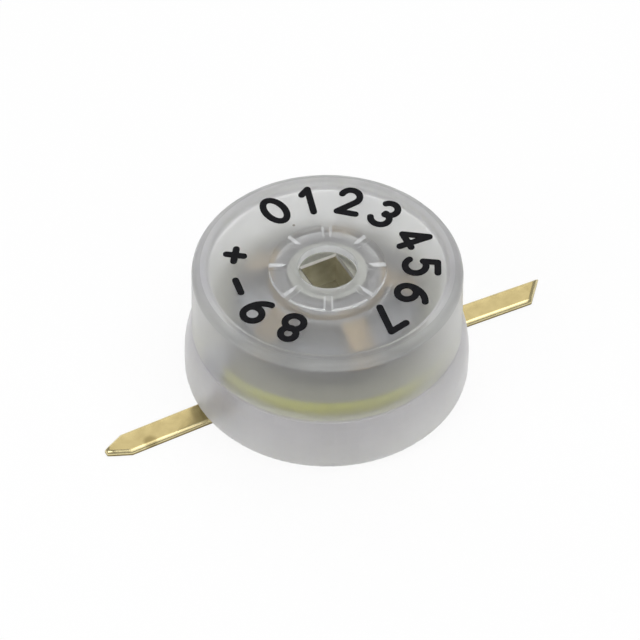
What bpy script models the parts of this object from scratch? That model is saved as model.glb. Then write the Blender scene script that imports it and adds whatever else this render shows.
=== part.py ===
"""Sealed ceramic disc trimmer capacitor with a square drive and two flat ribbon leads.

The frame is +Z up, in metres, with its origin at the centre of the housing's underside. The leads lie
along X, the stator's towards -X and the rotor's towards +X. The rotor turns about Z.
"""

import math

import bmesh
import bpy
from mathutils import Matrix

MM = 0.001

# Clearances
SEAT_GAP = 0.01 * MM  # between two faces that rest on each other
SLIP_GAP = 0.02 * MM  # round a piece that drops into its pocket
RUNNING_GAP = 0.03 * MM  # between a piece that turns and one that doesn't

# Base: a round block that flares from the cap's foot down to its side, with a recess for the disc
SEAM_STEP = 0.02 * MM  # from the cap's foot out to the base's upper edge
BASE_FLARE = 0.135 * MM
BASE_FLARE_HEIGHT = 0.68 * MM
BASE_FOOT_ROUND = 0.26 * MM
BASE_HEIGHT = 1.28 * MM
RECESS_DEPTH = 0.08 * MM

# Cap
CAP_TAPER = 0.02 * MM
CAP_EDGE_ROUND = 0.12 * MM
CAP_WALL = 0.29 * MM
CAP_FACE_THICKNESS = 0.27 * MM
RIM_WIDTH = 0.28 * MM
RIM_SLOPE = 0.05 * MM
RING_WIDTH = 0.59 * MM
RING_HEIGHT = 0.07 * MM
RING_CHAMFER = 0.03 * MM
NOTCH_COUNT = 8
NOTCH_WIDTH = 0.15 * MM
NOTCH_LAND = 0.25 * MM  # from the tool opening out to a notch
NOTCH_TURN = math.radians(18)
GLAND_ROOF = 0.11 * MM
COLLAR_WALL = 0.20 * MM

# Ceramic discs and their silver films
ROTOR_RADIUS = 1.915 * MM
ROTOR_THICKNESS = 0.30 * MM
STATOR_MARGIN = 0.47 * MM  # from the rotor's edge out to the stator's
STATOR_THICKNESS = 0.38 * MM
STATOR_HOLE_RADIUS = 0.36 * MM
FILM_THICKNESS = 0.02 * MM
FILM_MARGIN = 0.10 * MM  # from the rotor's edge in to the films
FILM_TAB_WIDTH = 0.60 * MM
FILM_TAB_OVERLAP = 0.20 * MM
ROTOR_FILM_TURN = math.radians(60)  # turn of the rotor's half disc from the stator's, at rest

# Drive shaft, and the seal and washer round its head
SOCKET_WIDTH = 0.78 * MM
SOCKET_DEPTH = 0.72 * MM
SOCKET_CHAMFER = 0.04 * MM
OPENING_MARGIN = 0.04 * MM  # from the socket's corners out to the cap's opening
HEAD_WALL = 0.25 * MM
KEY_WALL = 0.23 * MM
KEY_LIFT = 0.05 * MM
NECK_WALL = 0.045 * MM
FLANGE_LIP = 0.13 * MM
FLANGE_THICKNESS = 0.07 * MM
STEM_RADIUS = 0.28 * MM
O_RING_SECTION_RADIUS = 0.12 * MM
THRUST_WASHER_THICKNESS = 0.04 * MM

# Contact spring: a ring with fingers that press on the rotor
SPRING_THICKNESS = 0.06 * MM
SPRING_RING_WIDTH = 0.24 * MM
FINGER_COUNT = 5
FINGER_WIDTH = 0.50 * MM
FINGER_INSET = 0.12 * MM  # from the rotor's edge in to a finger's end
FINGER_DROP = 0.29 * MM
FINGER_TURN = math.radians(51)
FINGER_STEPS = 8

# Rotor terminal: a blind bush pressed into the base, in which the shaft's stem turns
BUSH_WALL = 0.18 * MM
BUSH_FLOOR = 0.12 * MM
BUSH_FLANGE_LIP = 0.32 * MM
BUSH_FLANGE_THICKNESS = 0.08 * MM
STEM_END_GAP = 0.04 * MM
ROTOR_SOLDER_THICKNESS = 0.05 * MM
ROTOR_SOLDER_RADIUS = 0.34 * MM

# Leads
LEAD_WIDTH = 0.56 * MM
LEAD_THICKNESS = 0.13 * MM
LEAD_BEND_RADIUS = 0.07 * MM
LEAD_REACH = 5.07 * MM
STATOR_LEAD_TURN = math.radians(181.1)
STATOR_POINT_LENGTH = 0.46 * MM
STATOR_TIP_WIDTH = 0.26 * MM
RISER_INSET = 0.52 * MM  # from the stator's edge in to the stator lead's upright part
ROTOR_LEAD_TURN = math.radians(-1.7)
ROTOR_SLANT_LENGTH = 0.46 * MM
ROTOR_PAD_RADIUS = 0.42 * MM
STATOR_SOLDER_LENGTH = 0.42 * MM
STATOR_SOLDER_HEIGHT = 0.20 * MM
STATOR_SOLDER_CHAMFER = 0.06 * MM

# Levels, from the underside up
RECESS_FLOOR = BASE_HEIGHT - RECESS_DEPTH
STATOR_BOTTOM = RECESS_FLOOR + FILM_THICKNESS + 2 * SEAT_GAP
STATOR_TOP = STATOR_BOTTOM + STATOR_THICKNESS
STATOR_FILM_BOTTOM = STATOR_TOP + SEAT_GAP
STATOR_FILM_TOP = STATOR_FILM_BOTTOM + FILM_THICKNESS
ROTOR_BOTTOM = STATOR_FILM_TOP + SEAT_GAP
ROTOR_TOP = ROTOR_BOTTOM + ROTOR_THICKNESS
ROTOR_FILM_BOTTOM = ROTOR_TOP + SEAT_GAP
ROTOR_FILM_TOP = ROTOR_FILM_BOTTOM + FILM_THICKNESS
FINGER_FOOT = ROTOR_FILM_TOP + SEAT_GAP
SPRING_BOTTOM = FINGER_FOOT + FINGER_DROP
SPRING_TOP = SPRING_BOTTOM + SPRING_THICKNESS
FLANGE_BOTTOM = SPRING_TOP + SEAT_GAP
HEAD_BOTTOM = FLANGE_BOTTOM + FLANGE_THICKNESS
WASHER_TOP = HEAD_BOTTOM + SEAT_GAP + THRUST_WASHER_THICKNESS
O_RING_HEIGHT = WASHER_TOP + SEAT_GAP + O_RING_SECTION_RADIUS
GLAND_CEILING = O_RING_HEIGHT + O_RING_SECTION_RADIUS + SEAT_GAP
HEAD_TOP = GLAND_CEILING - SLIP_GAP
CAP_FACE = GLAND_CEILING + GLAND_ROOF
CAP_TOP = CAP_FACE + RING_HEIGHT
CAP_CEILING = CAP_FACE - CAP_FACE_THICKNESS
LEAD_ROOF = LEAD_THICKNESS + SEAT_GAP
BUSH_BOTTOM = LEAD_ROOF + ROTOR_SOLDER_THICKNESS + SEAT_GAP
BUSH_FLOOR_TOP = BUSH_BOTTOM + BUSH_FLOOR

# Radii, from the rotor's disc outward and from the tool socket outward
STATOR_RADIUS = ROTOR_RADIUS + STATOR_MARGIN
CAP_INNER_RADIUS = STATOR_RADIUS + SEAT_GAP + FILM_THICKNESS + SLIP_GAP
CAP_TOP_RADIUS = CAP_INNER_RADIUS + CAP_WALL
CAP_FOOT_RADIUS = CAP_TOP_RADIUS + CAP_TAPER
BASE_TOP_RADIUS = CAP_FOOT_RADIUS + SEAM_STEP
BASE_RADIUS = BASE_TOP_RADIUS + BASE_FLARE
FILM_RADIUS = ROTOR_RADIUS - FILM_MARGIN
RISER_RADIUS = STATOR_RADIUS - RISER_INSET
SOCKET_CORNER_RADIUS = SOCKET_WIDTH / math.sqrt(2)
OPENING_RADIUS = SOCKET_CORNER_RADIUS + OPENING_MARGIN
RING_RADIUS = OPENING_RADIUS + RING_WIDTH
HEAD_RADIUS = SOCKET_CORNER_RADIUS + HEAD_WALL
GLAND_RADIUS = HEAD_RADIUS + 2 * O_RING_SECTION_RADIUS + 2 * SLIP_GAP
COLLAR_RADIUS = GLAND_RADIUS + COLLAR_WALL
KEY_WIDTH = SOCKET_WIDTH + 2 * KEY_WALL
NECK_RADIUS = KEY_WIDTH / math.sqrt(2) + NECK_WALL
FLANGE_RADIUS = NECK_RADIUS + FLANGE_LIP
FILM_INNER_RADIUS = NECK_RADIUS + FILM_MARGIN
FINGER_REACH = ROTOR_RADIUS - FINGER_INSET
STEM_BORE_RADIUS = STEM_RADIUS + SLIP_GAP
BUSH_RADIUS = STEM_BORE_RADIUS + BUSH_WALL
BUSH_FLANGE_RADIUS = BUSH_RADIUS + BUSH_FLANGE_LIP
SOLDER_MIDDLE = RISER_RADIUS - LEAD_THICKNESS / 2
SOLDER_HALF_WIDTH = LEAD_WIDTH / 2 + SLIP_GAP + STATOR_SOLDER_CHAMFER

CUTTER_RUN = 1.0 * MM  # how far a cutter runs past what it cuts
ROUND_STEPS = 72
SMALL_ROUND_STEPS = 36
FILLET_STEPS = 4
O_RING_SECTION_STEPS = 10
SHARP_ANGLE = math.radians(35)


def clear_scene():
    """Removes every object, mesh and material of the start-up scene."""
    for obj in list(bpy.data.objects):
        bpy.data.objects.remove(obj)
    for mesh in list(bpy.data.meshes):
        bpy.data.meshes.remove(mesh)
    for material in list(bpy.data.materials):
        bpy.data.materials.remove(material)


def make_material(name, colour, roughness, metallic=0.0, transmission=0.0):
    """A Principled material in one colour."""
    material = bpy.data.materials.new(name)
    material.use_nodes = True
    shader = material.node_tree.nodes["Principled BSDF"]
    shader.inputs["Base Color"].default_value = (*colour, 1.0)
    shader.inputs["Roughness"].default_value = roughness
    shader.inputs["Metallic"].default_value = metallic
    shader.inputs["Transmission Weight"].default_value = transmission
    return material


def link_mesh(name, bm, material=None):
    """Makes an object of a bmesh, smooth where its faces meet at a shallow angle."""
    bmesh.ops.recalc_face_normals(bm, faces=bm.faces)
    mesh = bpy.data.meshes.new(name)
    bm.to_mesh(mesh)
    bm.free()
    mesh.shade_smooth()
    mesh.set_sharp_from_angle(angle=SHARP_ANGLE)
    obj = bpy.data.objects.new(name, mesh)
    bpy.context.scene.collection.objects.link(obj)
    if material is not None:
        mesh.materials.append(material)
    return obj


def arc(centre, radius, start, end, steps=FILLET_STEPS):
    """Points along an arc in a flat outline, from one angle in degrees to another."""
    points = []
    for i in range(steps + 1):
        angle = math.radians(start + (end - start) * i / steps)
        points.append((centre[0] + radius * math.cos(angle), centre[1] + radius * math.sin(angle)))
    return points


def turned(name, outline, material=None, steps=SMALL_ROUND_STEPS):
    """A solid of revolution about Z from an outline of (radius, height) points.

    An outline whose ends lie on the axis gives a solid with flat end faces. One that keeps off the axis
    gives a ring.
    """
    bm = bmesh.new()
    rings = []
    for radius, height in outline:
        if radius > 0:
            circle = [2 * math.pi * i / steps for i in range(steps)]
            places = [(radius * math.cos(angle), radius * math.sin(angle), height) for angle in circle]
            rings.append([bm.verts.new(place) for place in places])
    if outline[0][0] > 0:
        rings.append(rings[0])
    else:
        bm.faces.new(rings[0])
        bm.faces.new(rings[-1])
    for ring, following in zip(rings, rings[1:]):
        for i in range(steps):
            j = (i + 1) % steps
            bm.faces.new((ring[i], ring[j], following[j], following[i]))
    return link_mesh(name, bm, material)


def plate(name, outline, bottom, top, material=None):
    """A flat outline of (x, y) points, drawn up from one height to another."""
    bm = bmesh.new()
    lower = [bm.verts.new((x, y, bottom)) for x, y in outline]
    upper = [bm.verts.new((x, y, top)) for x, y in outline]
    bm.faces.new(lower[::-1])
    bm.faces.new(upper)
    for i in range(len(outline)):
        j = (i + 1) % len(outline)
        bm.faces.new((lower[i], lower[j], upper[j], upper[i]))
    return link_mesh(name, bm, material)


def profile_bar(name, outline, width, material=None):
    """A side outline of (x, z) points, drawn across Y to a width centred on the X axis."""
    bar = plate(name, outline, -width / 2, width / 2, material)
    bar.data.transform(Matrix.Rotation(math.pi / 2, 4, "X"))
    return bar


def box(name, low, high, material=None):
    """A block between two opposite corners."""
    outline = [(low[0], low[1]), (high[0], low[1]), (high[0], high[1]), (low[0], high[1])]
    return plate(name, outline, low[2], high[2], material)


def disc(name, radius, bottom, top, material=None):
    """A round plug on the Z axis."""
    return turned(name, [(0, bottom), (radius, bottom), (radius, top), (0, top)], material)


def square_bar(name, width, bottom, top):
    """A square bar on the Z axis."""
    return box(name, (-width / 2, -width / 2, bottom), (width / 2, width / 2, top))


def turn(obj, angle):
    """Turns an object's mesh about the Z axis."""
    obj.data.transform(Matrix.Rotation(angle, 4, "Z"))
    return obj


def combine(target, other, operation):
    """Joins, cuts or intersects a solid with another one, which is then only a guide."""
    modifier = target.modifiers.new(other.name, "BOOLEAN")
    modifier.operation = operation
    modifier.solver = "EXACT"
    modifier.object = other
    other.hide_render = True
    other.display_type = "WIRE"
    return target


def half_ring(name, inner_radius, outer_radius, bottom, top, material):
    """Half of a flat ring, on the side of -X."""
    outline = arc((0, 0), outer_radius, 90, 270, SMALL_ROUND_STEPS // 2)
    outline += arc((0, 0), inner_radius, 270, 90, SMALL_ROUND_STEPS // 2)
    return plate(name, outline, bottom, top, material)


def rotor_lead_outline(gap, reach, slant):
    """The rotor lead's outline from above: a round pad on the Z axis, and the strip out to its end."""
    half = LEAD_WIDTH / 2 + gap
    radius = ROTOR_PAD_RADIUS + gap
    start = math.degrees(math.asin(half / radius))
    pad = arc((0, 0), radius, start, 360 - start, SMALL_ROUND_STEPS // 2)
    return pad + [(reach - slant, -half), (reach, half)]


def stator_lead_side(gap, reach, top):
    """The stator lead's outline from the side: along the underside, round the bend and up."""
    bend = (RISER_RADIUS + LEAD_BEND_RADIUS, LEAD_THICKNESS + LEAD_BEND_RADIUS)
    side = [(reach, LEAD_THICKNESS + gap)]
    side += arc(bend, LEAD_BEND_RADIUS - gap, -90, -180)
    return side + [(RISER_RADIUS + gap, top), (RISER_RADIUS - LEAD_THICKNESS - gap, top)]


def make_base(material):
    """The base block, with its recess and the ways through it for the leads and the rotor's bush."""
    foot = (BASE_RADIUS - BASE_FOOT_ROUND, BASE_FOOT_ROUND)
    flare_round = (BASE_FLARE**2 + BASE_FLARE_HEIGHT**2) / (2 * BASE_FLARE)
    flare = (BASE_RADIUS - flare_round, BASE_HEIGHT - BASE_FLARE_HEIGHT)
    flare_end = math.degrees(math.asin(BASE_FLARE_HEIGHT / flare_round))
    outline = [(0, 0)]
    outline += arc(foot, BASE_FOOT_ROUND, -90, 0)
    outline += arc(flare, flare_round, 0, flare_end)
    outline += [(CAP_INNER_RADIUS, BASE_HEIGHT), (CAP_INNER_RADIUS, RECESS_FLOOR), (0, RECESS_FLOOR)]
    base = turned("base_housing", outline, material, ROUND_STEPS)

    lead_end = BASE_RADIUS + CUTTER_RUN
    above = RECESS_FLOOR + CUTTER_RUN
    rotor_way = plate("rotor_lead_way", rotor_lead_outline(SLIP_GAP, lead_end, 0), -CUTTER_RUN, LEAD_ROOF)
    combine(base, turn(rotor_way, ROTOR_LEAD_TURN), "DIFFERENCE")
    bush_seat = BUSH_BOTTOM - SEAT_GAP
    flange_seat = RECESS_FLOOR - BUSH_FLANGE_THICKNESS - SEAT_GAP
    bore = [
        (0, LEAD_THICKNESS / 2),
        (ROTOR_SOLDER_RADIUS + SLIP_GAP, LEAD_THICKNESS / 2),
        (ROTOR_SOLDER_RADIUS + SLIP_GAP, bush_seat),
        (BUSH_RADIUS + SEAT_GAP, bush_seat),
        (BUSH_RADIUS + SEAT_GAP, flange_seat),
        (BUSH_FLANGE_RADIUS + SLIP_GAP, flange_seat),
        (BUSH_FLANGE_RADIUS + SLIP_GAP, above),
        (0, above),
    ]
    combine(base, turned("bush_bore", bore), "DIFFERENCE")

    side = stator_lead_side(SEAT_GAP, lead_end, above)
    side += [(RISER_RADIUS - LEAD_THICKNESS - SEAT_GAP, -CUTTER_RUN), (lead_end, -CUTTER_RUN)]
    stator_way = profile_bar("stator_lead_way", side, LEAD_WIDTH + 2 * SLIP_GAP)
    combine(base, turn(stator_way, STATOR_LEAD_TURN), "DIFFERENCE")
    half_length = STATOR_SOLDER_LENGTH / 2 + SLIP_GAP
    half_width = SOLDER_HALF_WIDTH + SLIP_GAP
    pocket = box(
        "stator_solder_pocket",
        (SOLDER_MIDDLE - half_length, -half_width, RECESS_FLOOR - STATOR_SOLDER_HEIGHT - SEAT_GAP),
        (SOLDER_MIDDLE + half_length, half_width, above),
    )
    return combine(base, turn(pocket, STATOR_LEAD_TURN), "DIFFERENCE")


def make_cap(material):
    """The cap: a cup open downwards, with a rim and a notched ring on top and the seal's gland inside."""
    foot = BASE_HEIGHT + SEAT_GAP
    edge = (CAP_TOP_RADIUS - CAP_EDGE_ROUND, CAP_TOP - CAP_EDGE_ROUND)
    outline = [(CAP_INNER_RADIUS, foot), (CAP_FOOT_RADIUS, foot)]
    outline += arc(edge, CAP_EDGE_ROUND, 0, 90)
    outline += [
        (CAP_TOP_RADIUS - RIM_WIDTH, CAP_TOP),
        (CAP_TOP_RADIUS - RIM_WIDTH - RIM_SLOPE, CAP_FACE),
        (RING_RADIUS, CAP_FACE),
        (RING_RADIUS, CAP_TOP - RING_CHAMFER),
        (RING_RADIUS - RING_CHAMFER, CAP_TOP),
        (OPENING_RADIUS + RING_CHAMFER, CAP_TOP),
        (OPENING_RADIUS, CAP_TOP - RING_CHAMFER),
        (OPENING_RADIUS, GLAND_CEILING),
        (GLAND_RADIUS, GLAND_CEILING),
        (GLAND_RADIUS, HEAD_BOTTOM + RUNNING_GAP),
        (COLLAR_RADIUS, HEAD_BOTTOM + RUNNING_GAP),
        (COLLAR_RADIUS, CAP_CEILING),
        (CAP_INNER_RADIUS, CAP_CEILING),
    ]
    cap = turned("cap", outline, material, ROUND_STEPS)
    for i in range(NOTCH_COUNT):
        notch = box(
            f"notch_cutter_{i + 1}",
            (OPENING_RADIUS + NOTCH_LAND, -NOTCH_WIDTH / 2, CAP_FACE + SEAT_GAP),
            (RING_RADIUS + SLIP_GAP, NOTCH_WIDTH / 2, CAP_TOP + CUTTER_RUN),
        )
        combine(cap, turn(notch, NOTCH_TURN + 2 * math.pi * i / NOTCH_COUNT), "DIFFERENCE")
    return cap


def make_stator_disc(material):
    """The ceramic disc that lies in the base's recess."""
    outline = [
        (STATOR_HOLE_RADIUS, STATOR_BOTTOM),
        (STATOR_RADIUS, STATOR_BOTTOM),
        (STATOR_RADIUS, STATOR_TOP),
        (STATOR_HOLE_RADIUS, STATOR_TOP),
    ]
    return turned("stator_disc", outline, material, ROUND_STEPS)


def make_stator_electrode(material):
    """The stator's silver half ring, with the tab that wraps over the ceramic's edge to its underside."""
    film = half_ring(
        "stator_electrode", FILM_INNER_RADIUS, FILM_RADIUS, STATOR_FILM_BOTTOM, STATOR_FILM_TOP, material
    )
    turn(film, STATOR_LEAD_TURN - math.pi)
    wrap = STATOR_RADIUS + SEAT_GAP
    under = STATOR_BOTTOM - SEAT_GAP
    tab_start = FILM_RADIUS - FILM_TAB_OVERLAP
    tab_end = SOLDER_MIDDLE - STATOR_SOLDER_LENGTH / 2
    side = [
        (tab_start, STATOR_FILM_BOTTOM),
        (wrap, STATOR_FILM_BOTTOM),
        (wrap, under),
        (tab_end, under),
        (tab_end, under - FILM_THICKNESS),
        (wrap + FILM_THICKNESS, under - FILM_THICKNESS),
        (wrap + FILM_THICKNESS, STATOR_FILM_TOP),
        (tab_start, STATOR_FILM_TOP),
    ]
    tab = profile_bar("stator_film_tab", side, FILM_TAB_WIDTH)
    return combine(film, turn(tab, STATOR_LEAD_TURN), "UNION")


def make_rotor_disc(material):
    """The ceramic disc that turns on the stator, with a square hole for the shaft's key."""
    rotor = disc("rotor_disc", ROTOR_RADIUS, ROTOR_BOTTOM, ROTOR_TOP, material)
    hole = square_bar("rotor_key_hole", KEY_WIDTH + 2 * SLIP_GAP, STATOR_BOTTOM, ROTOR_TOP + CUTTER_RUN)
    return combine(rotor, hole, "DIFFERENCE")


def make_rotor_electrode(material):
    """The rotor's silver half ring, on top of the ceramic."""
    film = half_ring(
        "rotor_electrode", FILM_INNER_RADIUS, FILM_RADIUS, ROTOR_FILM_BOTTOM, ROTOR_FILM_TOP, material
    )
    return turn(film, ROTOR_FILM_TURN)


def socket_cutter():
    """What a square tool socket with a chamfered mouth takes out of the shaft's head."""
    half = SOCKET_WIDTH / 2
    levels = [
        (half, HEAD_TOP - SOCKET_DEPTH),
        (half, HEAD_TOP - SOCKET_CHAMFER),
        (half + 2 * SOCKET_CHAMFER, HEAD_TOP + SOCKET_CHAMFER),
    ]
    bm = bmesh.new()
    rings = []
    for reach, height in levels:
        corners = [(-reach, -reach), (reach, -reach), (reach, reach), (-reach, reach)]
        rings.append([bm.verts.new((x, y, height)) for x, y in corners])
    bm.faces.new(rings[0][::-1])
    bm.faces.new(rings[-1])
    for lower, upper in zip(rings, rings[1:]):
        for i in range(4):
            j = (i + 1) % 4
            bm.faces.new((lower[i], lower[j], upper[j], upper[i]))
    return link_mesh("socket_cutter", bm)


def make_drive_shaft(material):
    """The metal shaft: a head with the square socket, a flange, a neck, a square key and a round stem."""
    neck_bottom = ROTOR_TOP + SEAT_GAP
    outline = [
        (0, neck_bottom),
        (NECK_RADIUS, neck_bottom),
        (NECK_RADIUS, FLANGE_BOTTOM),
        (FLANGE_RADIUS, FLANGE_BOTTOM),
        (FLANGE_RADIUS, HEAD_BOTTOM),
        (HEAD_RADIUS, HEAD_BOTTOM),
        (HEAD_RADIUS, HEAD_TOP),
        (0, HEAD_TOP),
    ]
    shaft = turned("drive_shaft", outline, material)
    middle = (neck_bottom + FLANGE_BOTTOM) / 2
    combine(shaft, square_bar("shaft_key", KEY_WIDTH, ROTOR_BOTTOM + KEY_LIFT, middle), "UNION")
    combine(shaft, disc("shaft_stem", STEM_RADIUS, BUSH_FLOOR_TOP + STEM_END_GAP, middle), "UNION")
    return combine(shaft, socket_cutter(), "DIFFERENCE")


def finger_side(start):
    """A finger's side outline: level at the ring, then down in an S to the rotor."""
    ring_edge = NECK_RADIUS + SPRING_RING_WIDTH
    lower = [(start, SPRING_BOTTOM)]
    for i in range(FINGER_STEPS + 1):
        share = i / FINGER_STEPS
        drop = share * share * (3 - 2 * share)
        lower.append((ring_edge + (FINGER_REACH - ring_edge) * share, SPRING_BOTTOM - FINGER_DROP * drop))
    upper = [(x, z + SPRING_THICKNESS) for x, z in lower]
    return lower + upper[::-1]


def make_contact_spring(material):
    """The gold-plated spring: a ring under the shaft's flange, with fingers that bear on the rotor."""
    inner = NECK_RADIUS + SLIP_GAP
    outer = NECK_RADIUS + SPRING_RING_WIDTH
    outline = [(inner, SPRING_BOTTOM), (outer, SPRING_BOTTOM), (outer, SPRING_TOP), (inner, SPRING_TOP)]
    spring = turned("contact_spring", outline, material)
    for i in range(FINGER_COUNT):
        finger = profile_bar(f"spring_finger_{i + 1}", finger_side((inner + outer) / 2), FINGER_WIDTH)
        combine(spring, turn(finger, FINGER_TURN + 2 * math.pi * i / FINGER_COUNT), "UNION")
    return spring


def make_o_ring(material):
    """The rubber ring between the shaft's head and the cap's gland."""
    centre = (HEAD_RADIUS + SLIP_GAP + O_RING_SECTION_RADIUS, O_RING_HEIGHT)
    last = 360 - 360 / O_RING_SECTION_STEPS
    outline = arc(centre, O_RING_SECTION_RADIUS, 0, last, O_RING_SECTION_STEPS - 1)
    return turned("o_ring", outline, material)


def make_thrust_washer(material):
    """The thin slippery washer on the shaft's flange, under the O-ring."""
    inner = HEAD_RADIUS + SLIP_GAP
    outer = GLAND_RADIUS - RUNNING_GAP
    bottom = HEAD_BOTTOM + SEAT_GAP
    outline = [(inner, bottom), (outer, bottom), (outer, WASHER_TOP), (inner, WASHER_TOP)]
    return turned("thrust_washer", outline, material)


def make_rotor_terminal(material):
    """The blind bush in the base, which carries the shaft's stem and its current."""
    flange_bottom = RECESS_FLOOR - BUSH_FLANGE_THICKNESS
    outline = [
        (0, BUSH_BOTTOM),
        (BUSH_RADIUS, BUSH_BOTTOM),
        (BUSH_RADIUS, flange_bottom),
        (BUSH_FLANGE_RADIUS, flange_bottom),
        (BUSH_FLANGE_RADIUS, RECESS_FLOOR),
        (STEM_BORE_RADIUS, RECESS_FLOOR),
        (STEM_BORE_RADIUS, BUSH_FLOOR_TOP),
        (0, BUSH_FLOOR_TOP),
    ]
    return turned("rotor_terminal", outline, material)


def make_rotor_solder(material):
    """The solder between the bush and the rotor lead's pad."""
    top = LEAD_ROOF + ROTOR_SOLDER_THICKNESS
    return disc("rotor_solder", ROTOR_SOLDER_RADIUS, LEAD_ROOF, top, material)


def make_rotor_lead(material):
    """The flat lead towards +X, with a round pad under the bush and an end sheared at a slant."""
    outline = rotor_lead_outline(0, LEAD_REACH, ROTOR_SLANT_LENGTH)
    return turn(plate("rotor_lead", outline, 0, LEAD_THICKNESS, material), ROTOR_LEAD_TURN)


def make_stator_lead(material):
    """The flat lead towards -X: pointed outside, and bent up through the base inside."""
    half = LEAD_WIDTH / 2
    tip_half = STATOR_TIP_WIDTH / 2
    point_start = LEAD_REACH - STATOR_POINT_LENGTH
    edge = [(0, half), (point_start, half), (LEAD_REACH - tip_half, tip_half), (LEAD_REACH, tip_half / 2)]
    plan = edge + [(x, -y) for x, y in edge[::-1]]
    mask = plate("stator_lead_plan", plan, -CUTTER_RUN, RECESS_FLOOR + CUTTER_RUN)

    bend = (RISER_RADIUS + LEAD_BEND_RADIUS, LEAD_THICKNESS + LEAD_BEND_RADIUS)
    side = stator_lead_side(0, LEAD_REACH + CUTTER_RUN, RECESS_FLOOR - SEAT_GAP)
    side += arc(bend, LEAD_BEND_RADIUS + LEAD_THICKNESS, -180, -90)
    side += [(LEAD_REACH + CUTTER_RUN, 0)]
    lead = profile_bar("stator_lead", side, 2 * LEAD_WIDTH, material)
    return combine(turn(lead, STATOR_LEAD_TURN), turn(mask, STATOR_LEAD_TURN), "INTERSECT")


def make_stator_solder(material):
    """The solder that joins the stator lead's upright end to the film under the ceramic."""
    low = RECESS_FLOOR - STATOR_SOLDER_HEIGHT
    near = SOLDER_MIDDLE - STATOR_SOLDER_LENGTH / 2
    far = SOLDER_MIDDLE + STATOR_SOLDER_LENGTH / 2
    side = [
        (near + STATOR_SOLDER_CHAMFER, low),
        (far - STATOR_SOLDER_CHAMFER, low),
        (far, low + STATOR_SOLDER_CHAMFER),
        (far, RECESS_FLOOR),
        (near, RECESS_FLOOR),
        (near, low + STATOR_SOLDER_CHAMFER),
    ]
    solder = profile_bar("stator_solder", side, 2 * SOLDER_HALF_WIDTH, material)
    half = LEAD_WIDTH / 2 + SEAT_GAP
    hole = box(
        "stator_solder_hole",
        (RISER_RADIUS - LEAD_THICKNESS - SEAT_GAP, -half, 0),
        (RISER_RADIUS + SEAT_GAP, half, RECESS_FLOOR + CUTTER_RUN),
    )
    return combine(turn(solder, STATOR_LEAD_TURN), turn(hole, STATOR_LEAD_TURN), "DIFFERENCE")


def make_frame(name, parent=None):
    """An empty at the origin, to carry the pieces that move together."""
    empty = bpy.data.objects.new(name, None)
    empty.empty_display_size = BASE_RADIUS
    empty.parent = parent
    bpy.context.scene.collection.objects.link(empty)
    return empty


def main():
    clear_scene()
    milky_plastic = make_material("milky_plastic", (0.62, 0.64, 0.64), 0.3, transmission=0.6)
    cream_ceramic = make_material("cream_ceramic", (0.72, 0.66, 0.36), 0.5)
    grey_ceramic = make_material("grey_ceramic", (0.20, 0.18, 0.16), 0.45)
    silver_film = make_material("silver_film", (0.60, 0.60, 0.58), 0.4, metallic=1.0)
    nickel_plate = make_material("nickel_plate", (0.62, 0.60, 0.54), 0.25, metallic=1.0)
    gold_plate = make_material("gold_plate", (0.80, 0.62, 0.28), 0.25, metallic=1.0)
    seal_rubber = make_material("seal_rubber", (0.35, 0.33, 0.30), 0.6)
    white_polymer = make_material("white_polymer", (0.85, 0.85, 0.82), 0.4)
    solder = make_material("solder", (0.55, 0.55, 0.56), 0.35, metallic=1.0)

    housing = make_frame("housing_frame")
    for piece in (
        make_base(milky_plastic),
        make_cap(milky_plastic),
        make_stator_disc(cream_ceramic),
        make_stator_electrode(silver_film),
        make_o_ring(seal_rubber),
        make_rotor_terminal(nickel_plate),
        make_rotor_solder(solder),
        make_rotor_lead(gold_plate),
        make_stator_lead(gold_plate),
        make_stator_solder(solder),
    ):
        piece.parent = housing

    rotor_axis = make_frame("rotor_axis", housing)
    for piece in (
        make_drive_shaft(nickel_plate),
        make_rotor_disc(grey_ceramic),
        make_rotor_electrode(silver_film),
        make_contact_spring(gold_plate),
        make_thrust_washer(white_polymer),
    ):
        piece.parent = rotor_axis


main()
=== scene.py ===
"""Looks of the sealed trimmer capacitor: milky housing, printed dial, ribbon leads and what shows through."""

import math

import bmesh
import bpy
from mathutils import Matrix, Vector, geometry


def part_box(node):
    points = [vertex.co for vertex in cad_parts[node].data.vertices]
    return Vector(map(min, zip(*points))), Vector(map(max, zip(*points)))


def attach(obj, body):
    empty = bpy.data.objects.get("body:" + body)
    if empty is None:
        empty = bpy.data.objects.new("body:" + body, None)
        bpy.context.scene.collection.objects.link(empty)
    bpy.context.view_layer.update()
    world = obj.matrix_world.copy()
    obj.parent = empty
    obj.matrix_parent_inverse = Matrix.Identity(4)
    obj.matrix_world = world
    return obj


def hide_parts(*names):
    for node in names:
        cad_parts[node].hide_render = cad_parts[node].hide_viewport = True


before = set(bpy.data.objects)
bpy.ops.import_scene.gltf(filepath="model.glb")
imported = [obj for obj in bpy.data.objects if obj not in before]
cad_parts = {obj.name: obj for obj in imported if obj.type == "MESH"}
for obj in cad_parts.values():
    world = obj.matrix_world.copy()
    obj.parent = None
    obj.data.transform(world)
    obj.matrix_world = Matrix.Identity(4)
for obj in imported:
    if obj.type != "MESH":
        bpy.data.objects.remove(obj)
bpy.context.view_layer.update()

MM = 0.001

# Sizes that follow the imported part
CAP_LOW, CAP_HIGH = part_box("cap")
SHAFT_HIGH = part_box("drive_shaft")[1]
SOCKET_MIDDLE = SHAFT_HIGH.z - 0.4 * MM  # a height between the drive's land and the socket's floor
CAP_FOOT = CAP_LOW.z
CAP_FOOT_RADIUS = CAP_HIGH.x
CAP_TOP = CAP_HIGH.z

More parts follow.
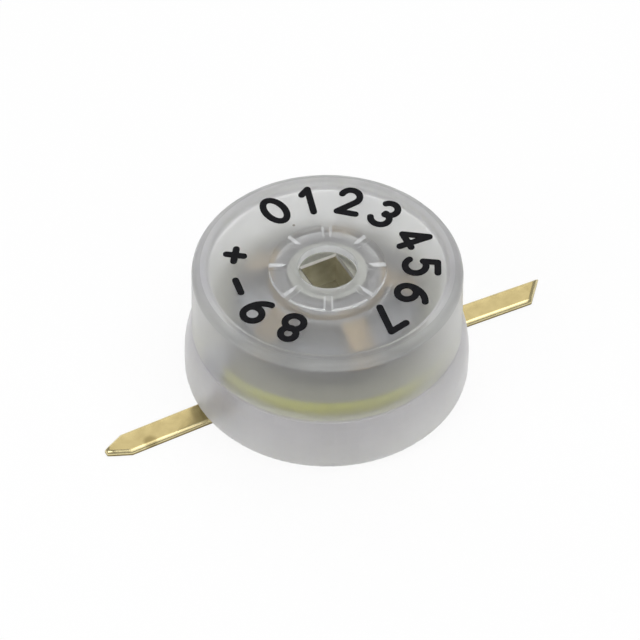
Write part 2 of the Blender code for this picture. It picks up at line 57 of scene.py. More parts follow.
# Cap: as in the part's source, but with a rounder outer edge, wider notches and a fillet at the seam
CAP_TAPER = 0.02 * MM
CAP_EDGE_ROUND = 0.17 * MM
SEAM_FILLET = 0.019 * MM
CAP_WALL = 0.29 * MM
CAP_FACE_THICKNESS = 0.27 * MM
RIM_WIDTH = 0.28 * MM
RIM_SLOPE = 0.05 * MM
RING_HEIGHT = 0.07 * MM
OPENING_RADIUS = 0.5915 * MM
RING_RADIUS = OPENING_RADIUS + 0.59 * MM
RIM_ROUND = 0.08 * MM
RING_FOOT_ROUND = 0.02 * MM
RING_TOP_ROUND = 0.03 * MM
CEILING_ROUND = 0.05 * MM
NOTCH_COUNT = 8
NOTCH_WIDTH = 0.20 * MM
NOTCH_START = OPENING_RADIUS + 0.25 * MM
NOTCH_TURN = math.radians(18)
NOTCH_EDGE = 0.05 * MM
NOTCH_DEPTH = 0.85  # as a share of the ring's height
GLAND_ROOF = 0.11 * MM
COLLAR_WALL = 0.20 * MM
COLLAR_LIFT = 0.02 * MM
CAP_TOP_RADIUS = CAP_FOOT_RADIUS - CAP_TAPER
CAP_INNER_RADIUS = CAP_TOP_RADIUS - CAP_WALL
CAP_FACE = CAP_TOP - RING_HEIGHT
CAP_CEILING = CAP_FACE - CAP_FACE_THICKNESS
GLAND_CEILING = CAP_FACE - GLAND_ROOF
GLAND_RADIUS = 1.0815 * MM
COLLAR_RADIUS = GLAND_RADIUS + COLLAR_WALL
COLLAR_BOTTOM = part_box("thrust_washer")[0].z + COLLAR_LIFT

# How finely the cap is turned, and the places of its materials that come after the side's
OUTLINE_STEP = 0.12 * MM
FILLET_STEPS = 5
CAP_STEPS = 720
TOP_FACE, NOTCH_WALL, SEAM, EDGE = 1, 2, 3, 4
FACE_MARGIN = 0.02 * MM
STEEP = 0.4
SHARP_ANGLE = math.radians(40)

# Leads: the rolls of their top corners and of the others, and where they are cut across
LEAD_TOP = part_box("rotor_lead")[1].z
LEAD_ROUND = 0.09 * MM
LEAD_BURR = 0.02 * MM
LEAD_ROUND_STEPS = 5
LEAD_CORNER = math.radians(50)
LEAD_COVERED = 2.5 * MM
LEAD_CUTS = [reach * MM for reach in (2.7, 3.2, 3.7, 4.2, 4.5, 4.66, 4.78, 4.88)]

# The dark spot on the near lead and the heights at which the tints end, in millimetres; the base's tint that
# changes with height is painted light from the floor
SPOT_CENTRE = (-4.16, -0.29, 0.12)
SPOT_RADIUS = 0.20
CAP_TINT_TOP = 2.9
BASE_SHADE_TOP = 1.28

# Dial print
PRINT_OFFSET = Vector((0.043, 0.079, 0)) * MM
PRINT_RADIUS = 1.88 * MM
PRINT_HEIGHT = 0.73 * MM
PRINT_STROKE = 0.14 * MM
PRINT_THICKNESS = 0.02 * MM
PRINT_LIFT = 0.002 * MM
DOT_SIDES = 16

# Camera: its angles are in degrees and it stands where the photograph was taken from
PHOTO_TURN = 28.4
PHOTO_SIZE = 640
CAMERA_AZIMUTH = -PHOTO_TURN
CAMERA_ELEVATION = 46.2
CAMERA_ROLL = -0.6
CAMERA_DISTANCE = 90 * MM
CAMERA_TARGET = Vector((0, 0, 1.3 * MM))
TARGET_PIXEL = (327.0, 322.6)
PIXELS_PER_MM = 49.32
SENSOR_WIDTH = 36

# Floor, surround and lamps
FLOOR_REACH = 120 * MM
FLOOR_DROP = 0.005 * MM
FLOOR_GLOW = 0.9
SURROUND_DIM = 0.36
LAMP_DISTANCE = 60 * MM


def new_material(name):
    """A material with its Principled shader, as (material, nodes, links, shader)."""
    material = bpy.data.materials.new(name)
    material.use_nodes = True
    tree = material.node_tree
    return material, tree.nodes, tree.links, tree.nodes["Principled BSDF"]


def object_mm(nodes, links):
    """Object coordinates in millimetres."""
    place = nodes.new("ShaderNodeTexCoord")
    scale = nodes.new("ShaderNodeVectorMath")
    scale.operation = "SCALE"
    scale.inputs["Scale"].default_value = 1000
    links.new(place.outputs["Object"], scale.inputs[0])
    return scale.outputs[0]


def noise(nodes, links, vector, scale, detail, roughness=0.5):
    """Noise, with its scale in cycles per millimetre."""
    texture = nodes.new("ShaderNodeTexNoise")
    texture.inputs["Scale"].default_value = scale
    texture.inputs["Detail"].default_value = detail
    texture.inputs["Roughness"].default_value = roughness
    links.new(vector, texture.inputs["Vector"])
    return texture.outputs["Fac"]


def ramp(nodes, links, value, stops):
    """A colour ramp over (position, colour) stops."""
    node = nodes.new("ShaderNodeValToRGB")
    for element, (position, colour) in zip(node.color_ramp.elements, (stops[0], stops[-1])):
        element.position = position
        element.color = (*colour, 1)
    for position, colour in stops[1:-1]:
        node.color_ramp.elements.new(position).color = (*colour, 1)
    links.new(value, node.inputs["Fac"])
    return node.outputs["Color"]


def spread(nodes, links, value, low, high):
    """Maps 0 to 1 onto low to high."""
    node = nodes.new("ShaderNodeMapRange")
    node.inputs["To Min"].default_value = low
    node.inputs["To Max"].default_value = high
    links.new(value, node.inputs["Value"])
    return node.outputs["Result"]


def bump(nodes, links, shader, height, distance, strength):
    """Adds a bump of that height to a shader."""
    node = nodes.new("ShaderNodeBump")
    node.inputs["Distance"].default_value = distance
    node.inputs["Strength"].default_value = strength
    links.new(height, node.inputs["Height"])
    links.new(node.outputs["Normal"], shader.inputs["Normal"])


def mixed(nodes, links, factor, first, second):
    """Mixes two colours by a factor that varies."""
    blend = nodes.new("ShaderNodeMix")
    blend.data_type = "RGBA"
    links.new(factor, blend.inputs["Factor"])
    links.new(first, blend.inputs["A"])
    if isinstance(second, tuple):
        blend.inputs["B"].default_value = (*second, 1)
    else:
        links.new(second, blend.inputs["B"])
    return blend


def shaded(nodes, links, colour, cloud, darkest):
    """Multiplies a colour by a cloudy shade."""
    blend = nodes.new("ShaderNodeMix")
    blend.data_type = "RGBA"
    blend.blend_type = "MULTIPLY"
    blend.inputs["Factor"].default_value = 1.0
    links.new(colour, blend.inputs["A"])
    links.new(ramp(nodes, links, cloud, [(0.3, darkest), (0.7, (1, 1, 1))]), blend.inputs["B"])
    return blend.outputs["Result"]


def specks(nodes, links, place, colour, spacing, size, tint):
    """Sprinkles small specks of another tint over a colour."""
    cells = nodes.new("ShaderNodeTexVoronoi")
    cells.inputs["Scale"].default_value = 1 / spacing
    links.new(place, cells.inputs["Vector"])
    mask = ramp(nodes, links, cells.outputs["Distance"], [(size * 0.6, (1, 1, 1)), (size, (0, 0, 0))])
    return mixed(nodes, links, mask, colour, tint).outputs["Result"]


def milky_plastic(name, low, high, top, transmission, milk, sheen, smoothest, roughest):
    """Milky plastic: some light passes and blurs, and the rest scatters. Its tint goes from low to high
    between its foot and the height top."""
    material, nodes, links, shader = new_material(name)
    place = object_mm(nodes, links)
    # The tint that changes with height is painted light and shade: the base is lighter at its foot, as if lit
    # by the floor
    split = nodes.new("ShaderNodeSeparateXYZ")
    links.new(place, split.inputs[0])
    rise = nodes.new("ShaderNodeMapRange")
    rise.inputs["From Max"].default_value = top
    links.new(split.outputs["Z"], rise.inputs["Value"])
    height_shade = ramp(nodes, links, rise.outputs["Result"], [(0.15, low), (0.95, high)])
    cloud = noise(nodes, links, place, scale=0.9, detail=4.0)
    clouded = shaded(nodes, links, height_shade, cloud, darkest=(0.91, 0.91, 0.92))
    colour = specks(nodes, links, place, clouded, spacing=1.1, size=0.035, tint=(0.25, 0.22, 0.18))
    links.new(colour, shader.inputs["Base Color"])
    grain = noise(nodes, links, place, scale=6.0, detail=5.0, roughness=0.6)
    links.new(spread(nodes, links, grain, smoothest, roughest), shader.inputs["Roughness"])
    shader.inputs["IOR"].default_value = 1.49
    shader.inputs["Transmission Weight"].default_value = transmission
    shader.inputs["Sheen Weight"].default_value = sheen
    shader.inputs["Sheen Roughness"].default_value = 0.35
    ripple = noise(nodes, links, place, scale=9.0, detail=6.0, roughness=0.55)
    bump(nodes, links, shader, ripple, distance=0.004 * MM, strength=0.3)
    scatter = nodes.new("ShaderNodeBsdfTranslucent")
    links.new(colour, scatter.inputs["Color"])
    blend = nodes.new("ShaderNodeMixShader")
    blend.inputs["Fac"].default_value = milk
    links.new(shader.outputs["BSDF"], blend.inputs[1])
    links.new(scatter.outputs["BSDF"], blend.inputs[2])
    links.new(blend.outputs["Shader"], nodes["Material Output"].inputs["Surface"])
    return material


def spotted(nodes, links, place, colour):
    """Darkens a colour in a small round spot on the near lead."""
    reach = nodes.new("ShaderNodeVectorMath")
    reach.operation = "DISTANCE"
    links.new(place, reach.inputs[0])
    reach.inputs[1].default_value = SPOT_CENTRE
    mask = nodes.new("ShaderNodeMapRange")
    mask.interpolation_type = "SMOOTHSTEP"
    mask.inputs["From Min"].default_value = SPOT_RADIUS
    mask.inputs["From Max"].default_value = SPOT_RADIUS * 0.4
    links.new(reach.outputs["Value"], mask.inputs["Value"])
    blend = mixed(nodes, links, mask.outputs["Result"], colour, (0.62, 0.60, 0.55))
    blend.blend_type = "MULTIPLY"
    return blend.outputs["Result"]


def plain_metal(name, dark, light, low, high):
    """Plated metal with a little variation in colour and polish."""
    material, nodes, links, shader = new_material(name)
    place = object_mm(nodes, links)
    cloud = noise(nodes, links, place, scale=2.0, detail=4.0)
    colour = ramp(nodes, links, cloud, [(0.3, dark), (0.7, light)])
    links.new(colour, shader.inputs["Base Color"])
    grain = noise(nodes, links, place, scale=8.0, detail=6.0, roughness=0.6)
    links.new(spread(nodes, links, grain, low, high), shader.inputs["Roughness"])
    shader.inputs["Metallic"].default_value = 1.0
    bump(nodes, links, shader, grain, distance=0.003 * MM, strength=0.5)
    return material


def facing_shaded_metal(name, flat, slope, wall, low, high, sunk=None):
    """Plated metal with a colour each for its flats, its bevels, its walls and, if given, its sunk floors:
    painted highlight and shade by the way each face points, the sunk floors darker as painted shade.
    """
    material, nodes, links, shader = new_material(name)
    place = object_mm(nodes, links)
    facing = nodes.new("ShaderNodeTexCoord").outputs["Normal"]
    upright = nodes.new("ShaderNodeSeparateXYZ")
    links.new(facing, upright.inputs[0])
    stops = [(0.10, wall), (0.25, slope), (0.92, slope), (0.97, flat)]
    tint = ramp(nodes, links, upright.outputs["Z"], stops)
    # Flats low in the socket are darker: painted shade
    if sunk:
        split = nodes.new("ShaderNodeSeparateXYZ")
        links.new(place, split.inputs[0])
        rise = nodes.new("ShaderNodeMapRange")
        rise.inputs["From Min"].default_value = SOCKET_MIDDLE / MM
        rise.inputs["From Max"].default_value = SHAFT_HIGH.z / MM
        links.new(split.outputs["Z"], rise.inputs["Value"])
        deep = ramp(nodes, links, upright.outputs["Z"], stops[:3] + [(0.97, sunk)])
        tint = mixed(nodes, links, rise.outputs["Result"], deep, tint).outputs["Result"]
    cloud = noise(nodes, links, place, scale=5.0, detail=5.0)
    clouded = shaded(nodes, links, tint, cloud, darkest=(0.84, 0.83, 0.80))
    links.new(spotted(nodes, links, place, clouded), shader.inputs["Base Color"])
    grain = noise(nodes, links, place, scale=12.0, detail=5.0)
    links.new(spread(nodes, links, grain, low, high), shader.inputs["Roughness"])
    shader.inputs["Metallic"].default_value = 1.0
    bump(nodes, links, shader, cloud, distance=0.002 * MM, strength=0.25)
    return material


def plain_solid(name, dark, light, low, high):
    """A matt material with a fine grain."""
    material, nodes, links, shader = new_material(name)
    place = object_mm(nodes, links)
    grain = noise(nodes, links, place, scale=8.0, detail=6.0, roughness=0.6)
    links.new(ramp(nodes, links, grain, [(0.3, dark), (0.7, light)]), shader.inputs["Base Color"])
    links.new(spread(nodes, links, grain, low, high), shader.inputs["Roughness"])
    bump(nodes, links, shader, grain, distance=0.004 * MM, strength=0.6)
    return material


def grey_flats_solid(name, lapped, dark, light, low, high):
    """A ceramic whose flat faces are a darker grey and whose sides keep the fired colour."""
    material, nodes, links, shader = new_material(name)
    place = object_mm(nodes, links)
    grain = noise(nodes, links, place, scale=8.0, detail=6.0, roughness=0.6)
    upright = nodes.new("ShaderNodeSeparateXYZ")
    links.new(nodes.new("ShaderNodeTexCoord").outputs["Normal"], upright.inputs[0])
    flat = ramp(nodes, links, upright.outputs["Z"], [(0.6, (0, 0, 0)), (0.9, (1, 1, 1))])
    fired = ramp(nodes, links, grain, [(0.3, dark), (0.7, light)])
    links.new(mixed(nodes, links, flat, fired, lapped).outputs["Result"], shader.inputs["Base Color"])
    links.new(spread(nodes, links, grain, low, high), shader.inputs["Roughness"])
    bump(nodes, links, shader, grain, distance=0.004 * MM, strength=0.6)
    return material


def link_mesh(name, bm, material):
    """Makes an object of a bmesh, smooth except at sharp edges."""
    bmesh.ops.recalc_face_normals(bm, faces=bm.faces)
    mesh = bpy.data.meshes.new(name)
    bm.to_mesh(mesh)
    bm.free()
    mesh.shade_smooth()
    mesh.set_sharp_from_angle(angle=SHARP_ANGLE)
    obj = bpy.data.objects.new(name, mesh)
    bpy.context.scene.collection.objects.link(obj)
    mesh.materials.append(material)
    return obj


def rounded(points):
    """An outline of (x, y, fillet radius) points with its corners rounded."""
    result = []
    count = len(points)
    for i, (x, y, radius) in enumerate(points):
        here = Vector((x, y))
        if radius == 0:
            result.append(here)
            continue
        before = Vector(points[i - 1][:2]) - here
        after = Vector(points[(i + 1) % count][:2]) - here
        half = before.angle(after) / 2
        reach = radius / math.tan(half)
        start = here + before.normalized() * reach
        end = here + after.normalized() * reach
        centre = here + (before.normalized() + after.normalized()).normalized() * (radius / math.sin(half))
        first = start - centre
        turn = first.angle_signed(end - centre)
        for k in range(FILLET_STEPS + 1):
            result.append(centre + Matrix.Rotation(-turn * k / FILLET_STEPS, 2) @ first)
    return [(p.x, p.y) for p in result]


def split_long(points, longest):
    """Adds points on an outline's long stretches."""
    result = []
    for (x0, y0), (x1, y1) in zip(points, points[1:] + points[:1]):
        pieces = max(1, math.ceil(math.hypot(x1 - x0, y1 - y0) / longest))
        for k in range(pieces):
            result.append((x0 + (x1 - x0) * k / pieces, y0 + (y1 - y0) * k / pieces))
    return result


def turned(name, outline, material, steps, shape):
    """A ring turned about Z from a closed (radius, height) outline, with the heights that shape gives."""
    bm = bmesh.new()
    columns = []
    for i in range(steps):
        angle = 2 * math.pi * i / steps
        column = []
        for radius, height in outline:
            place = (radius * math.cos(angle), radius * math.sin(angle), shape(radius, height, angle))
            column.append(bm.verts.new(place))
        columns.append(column)
    for column, following in zip(columns, columns[1:] + columns[:1]):
        for k in range(len(outline)):
            m = (k + 1) % len(outline)
            bm.faces.new((column[k], column[m], following[m], following[k]))
    return link_mesh(name, bm, material)


def smooth(value):
    """Smoothstep, held within 0 and 1."""
    value = min(max(value, 0.0), 1.0)
    return value * value * (3 - 2 * value)


def ring_height(radius, height, angle):
    """Lowers the ring's top where a notch crosses it."""
    if height <= CAP_FACE or not NOTCH_START - NOTCH_WIDTH < radius < RING_RADIUS + NOTCH_WIDTH:
        return height
    step = 2 * math.pi / NOTCH_COUNT
    off = (angle - NOTCH_TURN + step / 2) % step - step / 2
    side = abs(radius * math.sin(off))
    across = 1 - smooth((side - (NOTCH_WIDTH / 2 - NOTCH_EDGE)) / NOTCH_EDGE)
    along = smooth((radius - NOTCH_START) / NOTCH_EDGE)
    return CAP_FACE + (height - CAP_FACE) * (1 - NOTCH_DEPTH * across * along)


def make_cap(side, top, notch_highlight, seam, edge):
    """The cap with its rim, ring and notches: dull on top, soft at its edge and whiter on the notch walls as
    a painted highlight.
    """
    corners = [
        (CAP_INNER_RADIUS, CAP_FOOT, 0.0),
        (CAP_FOOT_RADIUS + SEAM_FILLET, CAP_FOOT, 0.0),
        (CAP_FOOT_RADIUS + 0.3 * SEAM_FILLET, CAP_FOOT + SEAM_FILLET, 0.0),
        (CAP_FOOT_RADIUS, CAP_FOOT + 3 * SEAM_FILLET, 0.0),
        (CAP_TOP_RADIUS, CAP_TOP, CAP_EDGE_ROUND),
        (CAP_TOP_RADIUS - RIM_WIDTH, CAP_TOP, RIM_ROUND),
        (CAP_TOP_RADIUS - RIM_WIDTH - RIM_SLOPE, CAP_FACE, RIM_ROUND),
        (RING_RADIUS, CAP_FACE, RING_FOOT_ROUND),
        (RING_RADIUS, CAP_TOP, RING_TOP_ROUND),
        (OPENING_RADIUS, CAP_TOP, RING_TOP_ROUND),
        (OPENING_RADIUS, GLAND_CEILING, 0.0),
        (GLAND_RADIUS, GLAND_CEILING, 0.0),
        (GLAND_RADIUS, COLLAR_BOTTOM, 0.0),
        (COLLAR_RADIUS, COLLAR_BOTTOM, 0.0),
        (COLLAR_RADIUS, CAP_CEILING, 0.0),
        (CAP_INNER_RADIUS, CAP_CEILING, CEILING_ROUND),
    ]
    outline = split_long(rounded(corners), OUTLINE_STEP)
    cap = turned("cap_shell", outline, side, CAP_STEPS, ring_height)
    for material in (top, notch_highlight, seam, edge):
        cap.data.materials.append(material)
    for face in cap.data.polygons:
        # Notch walls get the whiter material, a painted highlight
        if notch_wall(face):
            face.material_index = NOTCH_WALL
        elif face.center.z > CAP_TOP - 1.1 * CAP_EDGE_ROUND:
            radius = math.hypot(face.center.x, face.center.y)
            outer = radius > CAP_TOP_RADIUS - 0.9 * CAP_EDGE_ROUND
            bore = radius < OPENING_RADIUS + FACE_MARGIN
            face.material_index = EDGE if outer or bore else TOP_FACE
        elif face.center.z < CAP_FOOT + 3 * SEAM_FILLET:
            face.material_index = SEAM
    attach(cap, "housing")
    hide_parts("cap")


def notch_wall(face):
    """Whether a face of the cap is a sloping wall of a notch."""
    x, y, z = face.center
    radius = math.hypot(x, y)
    if not (CAP_FACE < z < CAP_TOP and NOTCH_START < radius < RING_RADIUS - FACE_MARGIN):
        return False
    sideways = abs(x * face.normal.y - y * face.normal.x) / radius
    return sideways > STEEP


def arc(x, y, radius_x, radius_y, start, end, steps=14):
    """Points along part of an ellipse, from one angle in degrees to another."""
    points = []
    for i in range(steps + 1):
        angle = math.radians(start + (end - start) * i / steps)
        points.append((x + radius_x * math.cos(angle), y + radius_y * math.sin(angle)))
    return points


def digit_strokes():
    """The pen strokes of each mark, in a space one unit high."""
    return {
        "0": [arc(0.30, 0.50, 0.27, 0.45, 0, 360, 28)],
        "1": [[(0.14, 0.76), (0.34, 0.95), (0.34, 0.05)]],
        "2": [arc(0.30, 0.68, 0.26, 0.27, 165, -35) + [(0.06, 0.05), (0.58, 0.05)]],
        "3": [arc(0.28, 0.71, 0.24, 0.24, 150, -85), arc(0.28, 0.28, 0.27, 0.25, 85, -150)],
        "4": [[(0.44, 0.05), (0.44, 0.95), (0.04, 0.32), (0.60, 0.32)]],
        "5": [[(0.54, 0.95), (0.14, 0.95), (0.10, 0.55)] + arc(0.27, 0.34, 0.29, 0.29, 120, -145)],
        "6": [arc(0.29, 0.31, 0.26, 0.26, 0, 360, 24), arc(0.62, 0.34, 0.59, 0.62, 180, 112)],
        "7": [[(0.04, 0.95), (0.56, 0.95), (0.22, 0.05)]],
        "8": [arc(0.30, 0.72, 0.21, 0.22, 0, 360, 22), arc(0.30, 0.28, 0.26, 0.25, 0, 360, 24)],
        "9": [arc(0.31, 0.69, 0.26, 0.26, 0, 360, 24), arc(-0.02, 0.66, 0.59, 0.62, 0, -68)],
        "+": [[(0.06, 0.50), (0.54, 0.50)], [(0.30, 0.26), (0.30, 0.74)]],
        "-": [[(0.06, 0.50), (0.54, 0.50)]],
    }


def stroke_outlines(points, width):
    """Convex outlines that cover a pen stroke: a strip for each stretch and a disc at each point."""
    half = width / 2
    last = 360 - 360 / DOT_SIDES
    outlines = [arc(x, y, half, half, 0, last, DOT_SIDES - 1) for x, y in points]
    for (x0, y0), (x1, y1) in zip(points, points[1:]):
        length = math.hypot(x1 - x0, y1 - y0)
        across = ((y0 - y1) / length * half, (x1 - x0) / length * half)
        outlines.append([
            (x0 - across[0], y0 - across[1]),
            (x1 - across[0], y1 - across[1]),
            (x1 + across[0], y1 + across[1]),
            (x0 + across[0], y0 + across[1]),
        ])
    return outlines


def add_mark(bm, strokes, place, stroke_width, depth):
    """Adds one printed mark to a bmesh: the union of its strokes, drawn down to a depth."""
    points, faces = [], []
    for stroke in strokes:
        for outline in stroke_outlines(stroke, stroke_width):
            faces.append(list(range(len(points), len(points) + len(outline))))
            points.extend(Vector(point) for point in outline)
    points, _, cells, _, _, sources = geometry.delaunay_2d_cdt(points, [], faces, 0, 1e-6)
    faces = [cell for cell, source in zip(cells, sources) if source]
    top = [bm.verts.new(place @ Vector((x, y, 0))) for x, y in points]
    bottom = [bm.verts.new(v.co - Vector((0, 0, depth))) for v in top]
    edges = {}
    for face in faces:
        bm.faces.new([top[i] for i in face])
        bm.faces.new([bottom[i] for i in reversed(face)])
        for a, b in zip(face, list(face[1:]) + [face[0]]):
            edges[a, b] = True
    for a, b in edges:
        if (b, a) not in edges:
            bm.faces.new((top[b], top[a], bottom[a], bottom[b]))


def make_print(material):
    """The printed dial: numbers and signs on the sunk face, with their tops outward."""
    bm = bmesh.new()
    strokes = digit_strokes()
    # Each mark, and where it stands in the photograph, in degrees from the right
    marks = list(zip("01234567", (125, 102, 77, 52, 25, 0, -25, -50)))
    marks += list(zip("89-+", (-112, -137, -161, -188)))
    for mark, turn in marks:
        angle = math.radians(turn - PHOTO_TURN)
        place = Matrix.Translation(PRINT_OFFSET) @ Matrix.Rotation(angle - math.pi / 2, 4, "Z")
        place = place @ Matrix.Translation((0, PRINT_RADIUS, CAP_FACE + PRINT_LIFT + PRINT_THICKNESS))
        place = place @ Matrix.Scale(PRINT_HEIGHT, 4) @ Matrix.Translation((-0.3, -0.5, 0))
        add_mark(bm, strokes[mark], place, PRINT_STROKE / PRINT_HEIGHT, PRINT_THICKNESS)
    loose = [v for v in bm.verts if not v.link_faces]
    bmesh.ops.delete(bm, geom=loose, context="VERTS")
    dial = link_mesh("dial_print", bm, material)
    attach(dial, "housing")


def dress(node, material):
    """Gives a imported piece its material."""
    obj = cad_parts[node]
    obj.data.materials.clear()
    obj.data.materials.append(material)


def cut_across(bm, place):
    """Adds an edge loop across the lead at a distance from the part's axis, on whichever side it is."""
    for side in (-1, 1):
        bmesh.ops.bisect_plane(
            bm, geom=bm.verts[:] + bm.edges[:] + bm.faces[:],
            plane_co=(side * place, 0, 0), plane_no=(1, 0, 0),
        )


def roll_corners(bm, offset, lowest):
    """Rounds a lead's sharp edges that are outside the body and higher than a level."""
    corners = []
    for edge in bm.edges:
        outside = all(abs(v.co.x) > LEAD_COVERED - LEAD_BURR and v.co.z > lowest for v in edge.verts)
        if outside and edge.is_manifold and edge.calc_face_angle() > LEAD_CORNER:
            corners.append(edge)
    bmesh.ops.bevel(
        bm, geom=corners, offset=offset, offset_type="OFFSET", segments=LEAD_ROUND_STEPS,
        profile=0.5, affect="EDGES", clamp_overlap=True,
    )


def make_lead(node, material):
    """A lead with its sheared corners rolled round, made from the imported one."""
    bm = bmesh.new()
    bm.from_mesh(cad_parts[node].data)
    bmesh.ops.remove_doubles(bm, verts=bm.verts, dist=0.0001 * MM)
    bmesh.ops.dissolve_limit(bm, angle_limit=math.radians(1), verts=bm.verts, edges=bm.edges)
    cut_across(bm, LEAD_COVERED)
    roll_corners(bm, LEAD_ROUND, LEAD_TOP - LEAD_BURR)
    roll_corners(bm, LEAD_BURR, -LEAD_BURR)
    for place in LEAD_CUTS:
        cut_across(bm, place)
    lead = link_mesh(node + "_ribbon", bm, material)
    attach(lead, "housing")
    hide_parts(node)


def seen_ray(nodes, links):
    """One for a ray from the camera or through clear plastic, and nought for other light."""
    path = nodes.new("ShaderNodeLightPath")
    either = nodes.new("ShaderNodeMath")
    either.operation = "MAXIMUM"
    links.new(path.outputs["Is Camera Ray"], either.inputs[0])
    links.new(path.outputs["Is Transmission Ray"], either.inputs[1])
    return either.outputs[0]


def make_floor():
    """A pale floor that reads as white and keeps a soft shadow."""
    bm = bmesh.new()
    corners = [(x * FLOOR_REACH, y * FLOOR_REACH, 0) for x, y in ((-1, -1), (1, -1), (1, 1), (-1, 1))]
    bm.faces.new([bm.verts.new(corner) for corner in corners])
    material, nodes, links, shader = new_material("floor_paper")
    shader.inputs["Base Color"].default_value = (0.92, 0.92, 0.92, 1)
    shader.inputs["Roughness"].default_value = 0.9
    shader.inputs["Specular IOR Level"].default_value = 0.0
    glow = nodes.new("ShaderNodeEmission")
    glow.inputs["Color"].default_value = (1, 1, 1, 1)
    mix = nodes.new("ShaderNodeMixShader")
    links.new(spread(nodes, links, seen_ray(nodes, links), 0.0, FLOOR_GLOW), mix.inputs["Fac"])
    links.new(shader.outputs["BSDF"], mix.inputs[1])
    links.new(glow.outputs["Emission"], mix.inputs[2])
    links.new(mix.outputs["Shader"], nodes["Material Output"].inputs["Surface"])
    floor = link_mesh("floor", bm, material)
    floor.location.z = -FLOOR_DROP
    material.cycles.emission_sampling = "NONE"


def make_world():
    """A surround that is white to see and dimmer as light."""
    world = bpy.data.worlds.new("surround")
    world.use_nodes = True
    world.cycles.sampling_method = "NONE"
    nodes, links = world.node_tree.nodes, world.node_tree.links
    background = nodes["Background"]
    background.inputs["Color"].default_value = (1, 1, 1, 1)
    strength = spread(nodes, links, seen_ray(nodes, links), SURROUND_DIM, 1.0)
    links.new(strength, background.inputs["Strength"])
    bpy.context.scene.world = world


def direction(azimuth, elevation):
    """The direction from the part towards an azimuth and elevation in degrees."""
    a, e = math.radians(azimuth), math.radians(elevation)
    return Vector((math.sin(a) * math.cos(e), -math.cos(a) * math.cos(e), math.sin(e)))


def make_lamp(name, azimuth, elevation, size, radiance):
    """A square soft box that looks at the part."""
    light = bpy.data.lights.new(name, "AREA")
    light.shape = "SQUARE"
    light.size = size
    light.energy = radiance * math.pi * size * size
    lamp = bpy.data.objects.new(name, light)
    back = direction(azimuth, elevation)
    lamp.location = CAMERA_TARGET + back * LAMP_DISTANCE
    lamp.rotation_euler = back.to_track_quat("Z", "Y").to_euler()
    bpy.context.scene.collection.objects.link(lamp)


def make_camera():
    """A long lens at the photograph's angle."""
    data = bpy.data.cameras.new("camera")
    data.sensor_width = SENSOR_WIDTH
    data.lens = PIXELS_PER_MM * (CAMERA_DISTANCE / MM) * SENSOR_WIDTH / PHOTO_SIZE
    data.clip_start = 1 * MM
    data.clip_end = 1.0
    data.shift_x = (PHOTO_SIZE / 2 - TARGET_PIXEL[0]) / PHOTO_SIZE
    data.shift_y = (TARGET_PIXEL[1] - PHOTO_SIZE / 2) / PHOTO_SIZE
    camera = bpy.data.objects.new("camera", data)
    back = direction(CAMERA_AZIMUTH, CAMERA_ELEVATION)
    level = direction(CAMERA_AZIMUTH + 90, 0)
    right = Matrix.Rotation(-math.radians(CAMERA_ROLL), 3, back) @ level
    up = back.cross(right)
    place = Matrix((right, up, back)).transposed().to_4x4()
    place.translation = CAMERA_TARGET + back * CAMERA_DISTANCE
    camera.matrix_world = place
    bpy.context.scene.collection.objects.link(camera)
    bpy.context.scene.camera = camera


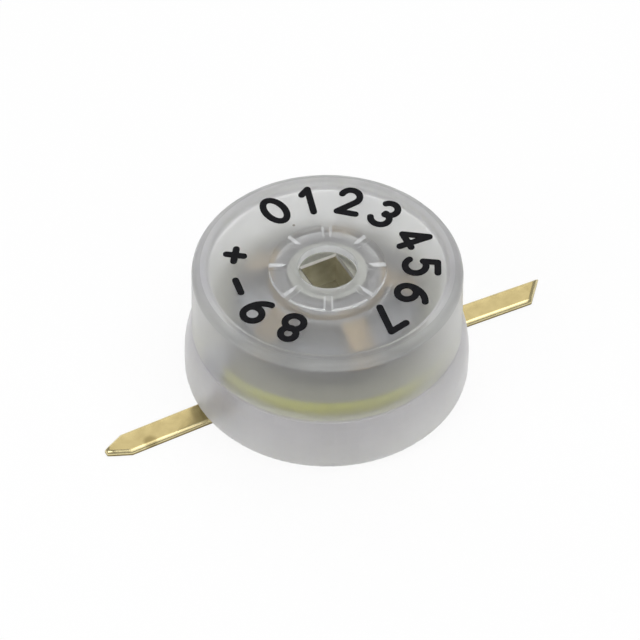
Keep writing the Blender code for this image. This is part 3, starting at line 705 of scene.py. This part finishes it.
def main():
    bpy.context.scene.view_settings.view_transform = "Standard"
    make_camera()
    make_world()
    make_floor()
    make_lamp("key_light", azimuth=150, elevation=55, size=50 * MM, radiance=1.1)
    make_lamp("top_light", azimuth=70, elevation=70, size=40 * MM, radiance=1.6)
    make_lamp("front_light", azimuth=8, elevation=50, size=52 * MM, radiance=0.95)
    make_lamp("fill_light", azimuth=-80, elevation=40, size=40 * MM, radiance=2.2)
    make_lamp("back_light", azimuth=165, elevation=18, size=40 * MM, radiance=0.9)

    # The cap's side and inner surfaces are tinted darker than its top: painted shade
    cap_plastic = milky_plastic(
        "cap_plastic", low=(0.84, 0.85, 0.84), high=(0.89, 0.89, 0.88), top=CAP_TINT_TOP,
        transmission=0.98, milk=0.07, sheen=0.5, smoothest=0.28, roughest=0.33,
    )
    cap_dull = milky_plastic(
        "cap_dull", low=(0.92, 0.93, 0.93), high=(0.96, 0.97, 0.97), top=CAP_TINT_TOP,
        transmission=0.96, milk=0.07, sheen=0.4, smoothest=0.31, roughest=0.40,
    )
    # Whiter, milkier notch walls: a painted highlight
    notch_highlight = milky_plastic(
        "cap_notch_highlight", low=(0.92, 0.93, 0.93), high=(0.96, 0.97, 0.97), top=CAP_TINT_TOP,
        transmission=0.45, milk=0.3, sheen=0.0, smoothest=0.30, roughest=0.40,
    )
    # Milkier and rougher on the outer edge to soften it, with a darker tint that is painted shade
    cap_edge = milky_plastic(
        "cap_edge", low=(0.66, 0.67, 0.66), high=(0.70, 0.71, 0.70), top=CAP_TINT_TOP,
        transmission=0.84, milk=0.14, sheen=0.5, smoothest=0.36, roughest=0.46,
    )
    # Lighter at its foot and darker towards its top: painted light from the floor
    base_plastic = milky_plastic(
        "base_plastic", low=(0.95, 0.95, 0.96), high=(0.73, 0.72, 0.76), top=BASE_SHADE_TOP,
        transmission=0.86, milk=0.20, sheen=1.0, smoothest=0.30, roughest=0.40,
    )
    # Brighter bevels are a painted highlight and darker walls painted shade
    gold = facing_shaded_metal(
        "gold_plate", flat=(0.47, 0.385, 0.185), slope=(0.80, 0.70, 0.40), wall=(0.26, 0.20, 0.08),
        low=0.15, high=0.28,
    )
    # Darker than the leads' gold: painted shade that tones down the lamps' reflection
    spring_gold = plain_metal(
        "spring_gold", dark=(0.24, 0.17, 0.08), light=(0.34, 0.25, 0.13), low=0.35, high=0.5
    )
    # Colours by facing are painted highlight and shade; the socket's sunk floor is darker as painted shade
    nickel = facing_shaded_metal(
        "nickel_plate", flat=(0.32, 0.32, 0.285), slope=(0.46, 0.45, 0.42), wall=(0.95, 0.92, 0.80),
        low=0.3, high=0.48, sunk=(0.27, 0.265, 0.215),
    )
    silver = plain_metal(
        "silver_film", dark=(0.18, 0.20, 0.24), light=(0.31, 0.30, 0.30), low=0.35, high=0.55
    )
    solder = plain_metal(
        "solder", dark=(0.50, 0.50, 0.51), light=(0.62, 0.62, 0.63), low=0.25, high=0.45
    )
    cream = grey_flats_solid(
        "cream_ceramic", lapped=(0.30, 0.29, 0.22), dark=(0.56, 0.56, 0.08), light=(0.70, 0.70, 0.14),
        low=0.45, high=0.65,
    )
    grey = plain_solid(
        "grey_ceramic", dark=(0.030, 0.028, 0.025), light=(0.070, 0.062, 0.054), low=0.4, high=0.6
    )
    rubber = plain_solid(
        "seal_rubber", dark=(0.12, 0.115, 0.115), light=(0.18, 0.17, 0.165), low=0.6, high=0.8
    )
    polymer = plain_solid(
        "white_polymer", dark=(0.42, 0.42, 0.41), light=(0.52, 0.52, 0.51), low=0.35, high=0.5
    )
    ink = plain_solid(
        "dial_ink", dark=(0.004, 0.004, 0.005), light=(0.010, 0.010, 0.012), low=0.3, high=0.5
    )
    ink.node_tree.nodes["Principled BSDF"].inputs["Specular IOR Level"].default_value = 0.04

    make_cap(cap_plastic, cap_dull, notch_highlight, base_plastic, cap_edge)
    make_print(ink)
    for node, material in (
        ("base_housing", base_plastic),
        ("contact_spring", spring_gold),
        ("drive_shaft", nickel),
        ("rotor_terminal", nickel),
        ("stator_electrode", silver),
        ("rotor_electrode", silver),
        ("stator_solder", solder),
        ("rotor_solder", solder),
        ("stator_disc", cream),
        ("rotor_disc", grey),
        ("o_ring", rubber),
        ("thrust_washer", polymer),
    ):
        dress(node, material)
    for node in ("stator_lead", "rotor_lead"):
        make_lead(node, gold)


main()
